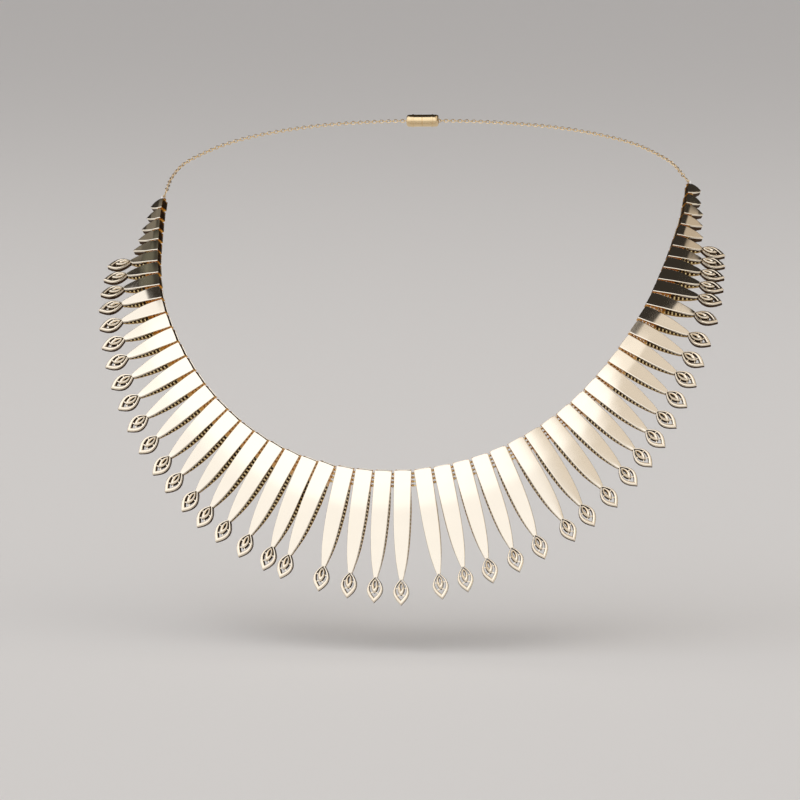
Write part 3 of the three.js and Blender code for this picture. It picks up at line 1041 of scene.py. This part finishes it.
def pointed_oval(length, width, centre, fullness=RIM_FULLNESS):
    """A pointed oval round its lower point, in a link's own X and Z."""
    points = []
    for step in range(2 * OVAL_STEPS):
        angle = math.pi * step / OVAL_STEPS
        along = -math.cos(angle)
        sign = 1 if step < OVAL_STEPS else -1
        x = sign * width / 2 * max(0, 1 - along * along) ** fullness
        points.append(Vector((x, 0, centre + along * length / 2)))
    return points


def add_marquise(shape, blade):
    """The pierced tip: a grooved rim, an opening with bridges, and a raised ring round a slot."""
    sizes = bpy.context.scene.necklace_marquise
    centre = -blade.length + sizes.overlap - sizes.length / 2
    opening_centre = centre + 0.45 * MM
    ring_centre = centre + 0.85 * MM
    slot_centre = ring_centre + 0.42 * MM
    outline = pointed_oval(sizes.length, sizes.width, centre)
    opening = pointed_oval(sizes.opening_length, sizes.opening_width, opening_centre)
    depth = sizes.depth / MM
    rim_section = (
        (0, depth),
        (0, 0.72),
        (0.16, 0.66),
        (0.16, 0.5),
        (0, 0.44),
        (0, 0.27),
        (0.06, 0.11),
        (0.2, 0.01),
        (0.5, -0.02),
        (0.8, 0.01),
        (0.94, 0.11),
        (1, 0.27),
        (1, depth),
    )
    rings = []
    for out, into in zip(outline, opening):
        rings.append([out.lerp(into, share) + Vector((0, y * MM, 0)) for share, y in rim_section])
    # The rim's groove, inner walls and back get painted shade
    shape.add(*loft(rings, round_trip=True), section_finishes(rings, RIM_PAINTED_SHADE))

    ring_out = pointed_oval(sizes.ring_length, sizes.ring_width, ring_centre, RING_FULLNESS)
    ring_in = pointed_oval(sizes.slot_length, sizes.slot_width, slot_centre, RING_FULLNESS)
    rise = sizes.rise / MM
    ring_depth = depth - 0.1
    ring_section = (
        (0, ring_depth),
        (0, 0.02),
        (0.12, -0.55 * rise),
        (0.35, -rise),
        (0.65, -0.92 * rise),
        (0.9, -0.35 * rise),
        (1, 0.15),
        (1, ring_depth),
    )
    rings = []
    for out, into in zip(ring_out, ring_in):
        rings.append([out.lerp(into, share) + Vector((0, y * MM, 0)) for share, y in ring_section])
    # The ring's outer side, slot walls and back get painted shade
    shape.add(*loft(rings, round_trip=True), section_finishes(rings, RING_PAINTED_SHADE))

    for row in BRIDGES:
        low = Vector((-row["reach"], BRIDGE_FRONT, -BRIDGE_HALF)) * MM
        high = Vector((row["reach"], BRIDGE_BACK, BRIDGE_HALF)) * MM
        for side in (-1, 1):
            middle = Vector((side * row["across"] * MM, 0, centre + row["along"] * MM))
            tilt = Matrix.Rotation(side * math.radians(row["tilt"]), 4, "Y")
            shape.add(*placed(block(low, high), Matrix.Translation(middle) @ tilt), TRIM)


RING_SIDES = 16
RING_WIRE_SIDES = 6
RING_DOWN = 1.15
RING_SOLDER = 0.12


def end_ring_middle(side):
    """Centre of the ring on the outer wall of the row's last link."""
    chain = bpy.context.scene.necklace_chain
    width = bpy.context.scene.necklace_link.width
    out = width / 2 + chain.ring_radius - RING_SOLDER * MM
    return Vector((side * out, HINGE_BEHIND * MM, -RING_DOWN * MM))


def add_end_ring(shape, side):
    """The soldered ring that the chain hangs in."""
    chain = bpy.context.scene.necklace_chain
    body = torus(chain.ring_radius, chain.ring_wire / 2, RING_SIDES, RING_WIRE_SIDES)
    place = Matrix.Translation(end_ring_middle(side)) @ Matrix.Rotation(math.pi / 2, 4, "X")
    shape.add(*placed(body, place), WALL)


def mark_paths(mesh, shape_size, paths):
    """Gives the gallery paths of a link's mesh what the tree reads."""
    heights = [0.0] * shape_size
    heights.extend(height for path in paths for point, height in path)
    mark = mesh.attributes.new("gallery", "BOOLEAN", "POINT")
    mark.data.foreach_set("value", [number >= shape_size for number in range(len(heights))])
    reach = mesh.attributes.new("reach", "FLOAT", "POINT")
    reach.data.foreach_set("value", heights)


def build_link(place):
    """One link of the row as a finished piece."""
    blade = Blade(place)
    shape = Shape()
    paths = []
    add_face(shape, blade)
    add_top(shape, blade)
    add_walls(shape, blade, paths)
    add_hinge(shape, blade)
    if blade.tipped:
        add_marquise(shape, blade)
    if abs(place) == LAST_PLACE:
        add_end_ring(shape, 1 if place > 0 else -1)
    name = link_name(place)
    mesh = shape.mesh(name + "_gold", [gold(row["name"]) for row in GOLDS[: TRIM + 1]])
    if paths:
        mesh = with_gallery(mesh, paths)
    mesh.transform(link_place(place))
    return finish_piece(name + "_fine", mesh, "link_gold", name)


def with_gallery(mesh, paths):
    """The link's mesh with the posts of its galleries."""
    gallery = bpy.context.scene.necklace_gallery
    sizes = bpy.context.scene.necklace_link
    body = bmesh.new()
    body.from_mesh(mesh)
    count = len(body.verts)
    for path in paths:
        corners = [body.verts.new(point) for point, height in path]
        for start, end in zip(corners, corners[1:]):
            body.edges.new((start, end))
    body.to_mesh(mesh)
    body.free()
    mark_paths(mesh, count, paths)
    values = {
        "Post Spacing": gallery.post_spacing,
        "Post Width": gallery.post_width,
        "Post Thickness": sizes.wall * 0.9,
        "Finish": gold("hinge_gold"),
    }
    return apply_tree(mesh, gallery_tree(), values)


# Chains and clasp

# Where a chain's route meets the neckline, how far from the clasp's middle it ends, and the distance
# between its points, in millimetres
ROUTE_START = 5
ROUTE_END = 2.7
ROUTE_SPACING = 7
ROUTE_STEPS = 10

# Play between links in millimetres, and the number of the route's points after which they stand upright
FIRST_PLAY = 0.02
LINK_PLAY = 0.03
UPRIGHT_AFTER = 20
LINK_SIDES = 12
LINK_WIRE_SIDES = 5


def catmull_rom(points, steps):
    """Points along a smooth curve through points."""
    line = [points[0] * 2 - points[1], *points, points[-1] * 2 - points[-2]]
    made = []
    for before, start, end, after in zip(line, line[1:], line[2:], line[3:]):
        for step in range(steps):
            share = step / steps
            bend = (end - before) * share
            bend += (before * 2 - start * 5 + end * 4 - after) * share**2
            bend += (start * 3 - before - end * 3 + after) * share**3
            made.append(start + bend * 0.5)
    made.append(points[-1])
    return made


def chain_route(side):
    """The middle line of one chain, from its first ring into the clasp, in metres."""
    chain = bpy.context.scene.necklace_chain
    last = side * LAST_PLACE
    placing = link_place(last)
    ring = end_ring_middle(side) + Vector((side * chain.ring_radius, 0, 0))
    start = placing @ (ring + Vector((side * chain.ring_radius, 0, 0)))
    begin = abs(last * PITCH + SLIP) + ROUTE_START
    end = LOOP_LENGTH / 2 + side * SLIP - ROUTE_END
    spans = round((end - begin - ROUTE_SPACING) / ROUTE_SPACING)
    points = [start]
    for span in range(spans + 1):
        distance = begin + (end - ROUTE_SPACING - begin) * span / spans
        points.append(on_neckline(side * distance)[0] * MM)
    points.append(on_neckline(side * end)[0] * MM)
    return catmull_rom(points, ROUTE_STEPS), placing, ring


def build_chain(side):
    """One fine cable chain with its first ring."""
    chain = bpy.context.scene.necklace_chain
    name = "back_chain_left" if side < 0 else "back_chain_right"
    route, placing, ring = chain_route(side)
    wire_radius = chain.wire / 2
    caught = chain.link_length / 2 - wire_radius - (chain.ring_wire / 2 + wire_radius) - FIRST_PLAY * MM
    start = route[0] + (route[1] - route[0]).normalized() * caught
    line = [start, *route[2:]]
    path = bpy.data.meshes.new(name + "_path")
    path.from_pydata(line, [(number, number + 1) for number in range(len(line) - 1)], [])
    upright = path.attributes.new("upright", "FLOAT_VECTOR", "POINT")
    first_up = placing.to_3x3() @ Vector((0, 0, 1))
    for number in range(len(line)):
        share = min(1, number / UPRIGHT_AFTER)
        upright.data[number].vector = first_up.lerp(Vector((0, 0, 1)), share)
    values = {
        "Pitch": chain.link_length - 2 * chain.wire - LINK_PLAY * MM,
        "Half Length": chain.link_length / 2 - wire_radius,
        "Half Width": chain.link_width / 2 - wire_radius,
        "Wire Radius": wire_radius,
        "Sides": LINK_SIDES,
        "Wire Sides": LINK_WIRE_SIDES,
        "Finish": gold("chain_wire_gold"),
    }
    mesh = apply_tree(path, chain_tree(), values)
    shape = Shape()
    body = torus(chain.ring_radius, chain.ring_wire / 2, RING_SIDES, RING_WIRE_SIDES)
    shape.add(*placed(body, placing @ Matrix.Translation(ring)))
    first = shape.mesh(name + "_ring", (gold("chain_wire_gold"),))
    joined = bmesh.new()
    joined.from_mesh(mesh)
    joined.from_mesh(first)
    joined.to_mesh(mesh)
    joined.free()
    bpy.data.meshes.remove(first)
    return finish_piece(name + "_links", mesh, "chain_gold", name)


# One end of the clasp from its bore outwards: distance in from the end, and radius as a share of the
# barrel's with so many millimetres more
CLASP_PROFILE = table(
    "inwards share more",
    (2.1, 0, 0.02),
    (2.1, 0, 0.85),
    (0.06, 0, 0.85),
    (0, 0, 0.91),
    (0, 0.7, 0),
    (0.12, 0.84, 0),
    (0.36, 0.95, 0),
    (0.7, 1, 0),
    (1.5, 1, 0),
    (1.55, 1, 0.1),
    (1.95, 1, 0.1),
    (2, 1, 0),
)
CLASP_SIDES = 32


def build_clasp():
    """The barrel clasp: a turned body with rounded ends, two raised bands and a bore at each end."""
    chain = bpy.context.scene.necklace_chain
    half = chain.clasp_length / 2
    radius = chain.clasp_radius
    profile = []
    for row in CLASP_PROFILE:
        base = row["share"] * radius
        profile.append((half - row["inwards"] * MM, base + row["more"] * MM))
    profile += [(0.12 * MM, radius), (0.05 * MM, radius - 0.08 * MM)]
    whole = profile + [(-x, r) for x, r in reversed(profile)]
    rings = []
    for side in range(CLASP_SIDES):
        angle = 2 * math.pi * side / CLASP_SIDES
        rings.append([(x, r * math.cos(angle), r * math.sin(angle)) for x, r in whole])
    shape = Shape()
    shape.add(*loft(rings, round_trip=True))
    mesh = shape.mesh("clasp_barrel", (gold("clasp_barrel_gold"),))
    mesh.transform(frame_on_neckline(LOOP_LENGTH / 2 + SLIP, 0))
    return finish_piece("clasp_barrel", mesh, "clasp_gold", "clasp")


# Stage

LIGHT_CENTRE = Vector((0, -20, -40)) * MM
PANEL_DISTANCE = 1.5
CAMERA_TARGET = Vector((4.57, -52, -53.74)) * MM
FLOOR_REACH = 30.0

# The wide source lies where both of these soft caps lie, and its bloom is brightest in the third
SWEEP_EDGE = {"azimuth": -60, "elevation": -20, "inner": 93, "outer": 96.5}
SWEEP_END = {"azimuth": -30, "elevation": 0, "inner": 84, "outer": 86}
SWEEP_BLOOM = {"azimuth": -14, "elevation": 50, "inner": 18, "outer": 30}

# The dimmer sources beside it: middle and reach in degrees, and the light's colour
FILLS = table(
    "azimuth elevation inner outer red green blue",
    (55, 42, 39.3, 41, 0.72, 0.665, 0.61),
    (-4, 62, 7, 10, 0.27, 0.28, 0.3),
    (123, 57, 10.5, 14, 0.5, 0.425, 0.345),
    (-130, 47, 4.5, 9, 0.17, 0.155, 0.13),
    (-123, 67, 2.5, 6.5, 0.11, 0.11, 0.085),
    (-133, 60, 2.5, 6.5, 0.11, 0.11, 0.085),
)


def build_floor():
    """The plain pale floor."""
    stage = bpy.context.scene.necklace_stage
    level = cad_box[0].z - stage.drop
    made = bpy.data.meshes.new("floor")
    signs = ((-1, -1), (1, -1), (1, 1), (-1, 1))
    corners = [(x * FLOOR_REACH, y * FLOOR_REACH, level) for x, y in signs]
    made.from_pydata(corners, [], [(0, 1, 2, 3)])
    floor = bpy.data.objects.new("floor", made)
    bpy.context.scene.collection.objects.link(floor)
    finish = bpy.data.materials.new("floor_paint")
    finish.use_nodes = True
    tree = finish.node_tree
    shader = tree.nodes["Principled BSDF"]
    shader.inputs["Base Color"].default_value = (*stage.floor, 1.0)
    shader.inputs["Roughness"].default_value = 0.9
    made.materials.append(finish)


def aim(thing, target):
    """Turns a light or the camera to look at a point."""
    away = thing.location - target
    thing.rotation_mode = "QUATERNION"
    thing.rotation_quaternion = away.to_track_quat("Z", "Y")


def around(azimuth, elevation):
    """Direction from the necklace to something round it, azimuth 0 in front and 90 on the right."""
    turn = math.radians(azimuth)
    tilt = math.radians(elevation)
    return Vector((math.sin(turn) * math.cos(tilt), -math.cos(turn) * math.cos(tilt), math.sin(tilt)))


def add_panel(name, azimuth, elevation, width, height, brightness):
    """A soft rectangular light round the necklace, as bright as a white surface times brightness."""
    light = bpy.data.lights.new(name, "AREA")
    light.shape = "RECTANGLE"
    light.size = width
    light.size_y = height
    light.energy = brightness * math.pi * width * height
    light.color = (1.0, 0.985, 0.96)
    panel = bpy.data.objects.new(name, light)
    bpy.context.scene.collection.objects.link(panel)
    panel.location = LIGHT_CENTRE + around(azimuth, elevation) * PANEL_DISTANCE
    panel.visible_camera = False
    aim(panel, LIGHT_CENTRE)
    return panel


def soft_cap(tree, direction, cap):
    """How far a direction lies within a soft round source, from 0 to 1."""
    facing = node(tree, "ShaderNodeVectorMath", {"operation": "DOT_PRODUCT"})
    wire(tree, direction, facing.inputs[0])
    facing.inputs[1].default_value = around(cap["azimuth"], cap["elevation"])
    inside = node(
        tree, "ShaderNodeMapRange", {"interpolation_type": "SMOOTHSTEP"}, Value=facing.outputs["Value"],
        From_Min=math.cos(math.radians(cap["outer"])), From_Max=math.cos(math.radians(cap["inner"])),
    )
    return inside.outputs["Result"]


def coloured_light(tree, colour, strength):
    """A colour scaled by a strength."""
    made = node(tree, "ShaderNodeVectorMath", {"operation": "SCALE"}, Scale=strength)
    wire(tree, colour, made.inputs[0])
    return made.outputs["Vector"]


def added(tree, first, second):
    """Two lights together."""
    made = node(tree, "ShaderNodeVectorMath", {"operation": "ADD"})
    wire(tree, first, made.inputs[0])
    wire(tree, second, made.inputs[1])
    return made.outputs["Vector"]


def build_world():
    """A soft studio dome: a wide source in front and on the left, dimmer fills, and an unlit ceiling."""
    stage = bpy.context.scene.necklace_stage
    world = bpy.data.worlds.new("studio")
    bpy.context.scene.world = world
    world.use_nodes = True
    tree = world.node_tree
    direction = node(tree, "ShaderNodeTexCoord").outputs["Generated"]
    edge = soft_cap(tree, direction, SWEEP_EDGE)
    sweep = calculated(tree, "MULTIPLY", edge, soft_cap(tree, direction, SWEEP_END))
    bloom = calculated(tree, "MULTIPLY_ADD", soft_cap(tree, direction, SWEEP_BLOOM), stage.bloom, 1.0)
    strength = calculated(tree, "MULTIPLY", calculated(tree, "MULTIPLY", sweep, bloom), stage.sweep)
    light = coloured_light(tree, (1.0, 1.0, 1.03), strength)
    beside = calculated(tree, "SUBTRACT", 1.0, sweep)
    room = calculated(tree, "MULTIPLY", beside, stage.room)
    light = added(tree, light, coloured_light(tree, (1.0, 0.88, 0.76), room))
    for fill in FILLS:
        share = calculated(tree, "MULTIPLY", beside, soft_cap(tree, direction, fill))
        colour = (fill["red"], fill["green"], fill["blue"])
        light = added(tree, light, coloured_light(tree, colour, share))
    wire(tree, light, tree.nodes["Background"].inputs["Color"])


def build_camera():
    """The camera at the photograph's angle."""
    stage = bpy.context.scene.necklace_stage
    lens = bpy.data.cameras.new("view")
    lens.sensor_width = 36.0
    lens.lens = stage.lens
    lens.clip_start = 0.05
    lens.clip_end = 60.0
    camera = bpy.data.objects.new("view", lens)
    bpy.context.scene.collection.objects.link(camera)
    back = around(math.degrees(stage.azimuth), math.degrees(stage.elevation))
    camera.location = CAMERA_TARGET + back * stage.distance
    aim(camera, CAMERA_TARGET)
    bpy.context.scene.camera = camera


# The add-on


class NECKLACE_OT_stage(bpy.types.Operator):
    """Makes the floor, the lights and the camera."""

    bl_idname = "necklace.stage"
    bl_label = "Make Stage"

    def execute(self, context):
        stage = context.scene.necklace_stage
        context.scene.view_settings.view_transform = "Standard"
        build_floor()
        build_world()
        build_camera()
        overhead = add_panel("overhead", 0, 89, 2.4, 2.4, stage.overhead)
        overhead.visible_glossy = False
        return {"FINISHED"}


class NECKLACE_OT_fringe_links(bpy.types.Operator):
    """Makes the links with marquise tips."""

    bl_idname = "necklace.fringe_links"
    bl_label = "Make Fringe Links"

    def execute(self, context):
        for place in range(-TIPPED_EACH_SIDE, TIPPED_EACH_SIDE + 1):
            build_link(place)
        return {"FINISHED"}


class NECKLACE_OT_plain_links(bpy.types.Operator):
    """Makes the short pointed links at both ends of the row."""

    bl_idname = "necklace.plain_links"
    bl_label = "Make Plain Links"

    def execute(self, context):
        for distance in range(TIPPED_EACH_SIDE + 1, LAST_PLACE + 1):
            build_link(-distance)
            build_link(distance)
        return {"FINISHED"}


class NECKLACE_OT_back_chains(bpy.types.Operator):
    """Makes the two fine chains."""

    bl_idname = "necklace.back_chains"
    bl_label = "Make Back Chains"

    def execute(self, context):
        build_chain(-1)
        build_chain(1)
        return {"FINISHED"}


class NECKLACE_OT_clasp(bpy.types.Operator):
    """Makes the barrel clasp."""

    bl_idname = "necklace.clasp"
    bl_label = "Make Clasp"

    def execute(self, context):
        build_clasp()
        return {"FINISHED"}


class NECKLACE_PT_parts(bpy.types.Panel):
    """Lists the operators."""

    bl_label = "Bib Necklace"
    bl_idname = "NECKLACE_PT_parts"
    bl_space_type = "VIEW_3D"
    bl_region_type = "UI"
    bl_category = "Necklace"

    def draw(self, context):
        """Draws one button for each operator."""
        for operator in OPERATORS:
            self.layout.operator(operator.bl_idname)


GROUPS = {
    "necklace_link": NECKLACE_PG_link,
    "necklace_gallery": NECKLACE_PG_gallery,
    "necklace_hinge": NECKLACE_PG_hinge,
    "necklace_marquise": NECKLACE_PG_marquise,
    "necklace_chain": NECKLACE_PG_chain,
    "necklace_gold": NECKLACE_PG_gold,
    "necklace_stage": NECKLACE_PG_stage,
}
OPERATORS = (
    NECKLACE_OT_stage,
    NECKLACE_OT_fringe_links,
    NECKLACE_OT_plain_links,
    NECKLACE_OT_back_chains,
    NECKLACE_OT_clasp,
)


def register():
    """Registers the classes and hangs the settings on the scene."""
    for kind in (*GROUPS.values(), *OPERATORS, NECKLACE_PT_parts):
        bpy.utils.register_class(kind)
    for name, kind in GROUPS.items():
        setattr(bpy.types.Scene, name, bpy.props.PointerProperty(type=kind))


def unregister():
    """Takes the classes and the settings away again."""
    for name in GROUPS:
        delattr(bpy.types.Scene, name)
    for kind in (NECKLACE_PT_parts, *reversed(OPERATORS), *GROUPS.values()):
        bpy.utils.unregister_class(kind)


def main():
    """Builds everything."""
    register()
    bpy.ops.necklace.stage()
    bpy.ops.necklace.fringe_links()
    bpy.ops.necklace.plain_links()
    bpy.ops.necklace.back_chains()
    bpy.ops.necklace.clasp()


if __name__ == "__main__":
    main()
